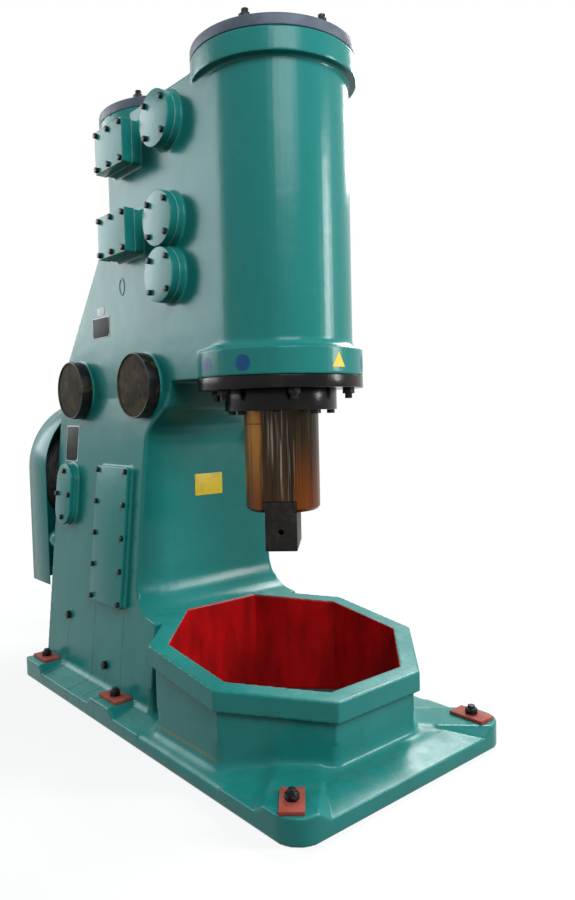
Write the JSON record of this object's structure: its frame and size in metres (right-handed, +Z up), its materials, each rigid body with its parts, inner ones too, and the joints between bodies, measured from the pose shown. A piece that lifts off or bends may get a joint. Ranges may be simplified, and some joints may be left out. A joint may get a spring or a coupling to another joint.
{
  "type": "pneumatic forging hammer",
  "caption": "Air forging hammer: C-frame casting with working and compressor cylinders, sliding ram and die, octagonal anvil well, rotary air valves with levers, crank drive and belt guard.",
  "frame": {"origin": "on the floor, at the middle of the bounding box, under the column", "axes": "+Z up, -Y towards the operator at the anvil well, +X to the operator right when facing the machine from the front"},
  "size_m": [1.1894, 2.577, 2.969],
  "materials": {
    "green_paint": "gloss teal-green machine enamel",
    "grey_cover": "dull dark grey",
    "black_iron": "black, oily",
    "oiled_steel": "brown oiled steel with vertical wear",
    "bright_steel": "machined",
    "dark_steel": "blackened",
    "cast_iron": "as cast, machined on running faces",
    "bronze": "machined bronze",
    "black_housing": "black",
    "brass_screen": "tarnished mesh",
    "rubber": "matt",
    "red_plate": "brick-red primer"
  },
  "bodies": {
    "frame": {"frame_casting": "green_paint", "upper_valve_cover": "green_paint", "middle_valve_cover": "green_paint", "lower_valve_cover": "green_paint", "upper_passage_cover": "green_paint", "lower_passage_cover": "green_paint", "valve_glands": "green_paint", "inspection_cover": "green_paint", "bearing_cover": "green_paint", "rear_bearing_cap": "green_paint", "belt_guard": "green_paint", "working_cover": "grey_cover", "compressor_cover": "grey_cover", "lower_flange": "black_iron", "gland": "black_iron", "working_cover_studs": "dark_steel", "compressor_cover_studs": "dark_steel", "lower_flange_studs": "dark_steel", "gland_bolts": "dark_steel", "valve_cover_bolts": "dark_steel", "passage_cover_bolts": "dark_steel", "valve_gland_bolts": "dark_steel", "inspection_cover_bolts": "dark_steel", "bearing_cover_bolts": "dark_steel", "drain_plugs": "dark_steel", "bearing_cap_bolts": "dark_steel", "guard_brackets": "dark_steel", "foundation_bolts": "dark_steel", "guide_bush": "bronze", "main_bearings": "bronze", "compressor_guide": "bronze", "front_filter_housing": "black_housing", "rear_filter_housing": "black_housing", "front_filter_screen": "brass_screen", "rear_filter_screen": "brass_screen", "ram_packing": "rubber", "bolt_plates": "red_plate"},
    "ram_body": {"ram": "oiled_steel", "ram_rings": "bright_steel", "upper_die": "oiled_steel", "die_key": "bright_steel"},
    "crank": {"crankshaft": "bright_steel", "flywheel": "cast_iron", "flywheel_key": "bright_steel"},
    "rod": {"connecting_rod": "bright_steel", "rod_cap": "bright_steel", "rod_bolts": "dark_steel", "crankpin_bush": "bronze", "wrist_pin": "bright_steel"},
    "oil_plug": {"crankpin_plug": "bronze"},
    "piston": {"compressor_piston": "cast_iron", "piston_rings": "bright_steel"},
    "lower_valve_body": {"lower_valve": "bright_steel", "hand_lever": "dark_steel", "lever_grip": "rubber"},
    "upper_valve_body": {"upper_valve": "bright_steel", "upper_valve_arm": "dark_steel"},
    "link": {"valve_link": "dark_steel"},
    "middle_valve_body": {"middle_valve": "bright_steel", "middle_valve_lever": "dark_steel"}
  },
  "joints": [
    {"name": "ram_slide", "type": "slide", "parent": "frame", "child": "ram_body", "axis": [0, 0, 1], "range_m": [0, 0.42]},
    {"name": "crank_spin", "type": "hinge", "parent": "frame", "child": "crank", "pos_m": [0, 0.2665, 1.06], "axis": [0, 1, 0], "continuous": true},
    {"name": "rod_swing", "type": "hinge", "parent": "crank", "child": "rod", "pos_m": [0, 0.2665, 0.95], "axis": [0, 1, 0], "continuous": true},
    {"name": "oil_plug_turn", "type": "hinge", "parent": "crank", "child": "oil_plug", "pos_m": [0, 0.2665, 1.005], "axis": [0, 1, 0], "continuous": true},
    {"name": "piston_travel", "type": "hinge", "parent": "oil_plug", "child": "piston", "pos_m": [0, 0.2665, 0.95], "axis": [0, 1, 0], "continuous": true},
    {"name": "lower_valve_turn", "type": "hinge", "parent": "frame", "child": "lower_valve_body", "pos_m": [0, -0.2145, 2.02118], "axis": [1, 0, 0], "range_deg": [-25, 25]},
    {"name": "upper_valve_turn", "type": "hinge", "parent": "frame", "child": "upper_valve_body", "pos_m": [0, -0.2145, 2.68525], "axis": [1, 0, 0], "range_deg": [-25, 25]},
    {"name": "link_swing", "type": "hinge", "parent": "lower_valve_body", "child": "link", "pos_m": [0.443, -0.3245, 2.02118], "axis": [1, 0, 0], "range_deg": [-25, 25]},
    {"name": "middle_valve_turn", "type": "hinge", "parent": "frame", "child": "middle_valve_body", "pos_m": [0, -0.2145, 2.26218], "axis": [1, 0, 0], "range_deg": [-25, 25]}
  ],
  "couplings": [
    {"joint": "rod_swing", "follows": "crank_spin", "ratio": -1},
    {"joint": "oil_plug_turn", "follows": "crank_spin", "ratio": -2},
    {"joint": "piston_travel", "follows": "crank_spin", "ratio": 1},
    {"joint": "upper_valve_turn", "follows": "lower_valve_turn", "ratio": 1},
    {"joint": "link_swing", "follows": "lower_valve_turn", "ratio": -1}
  ]
}
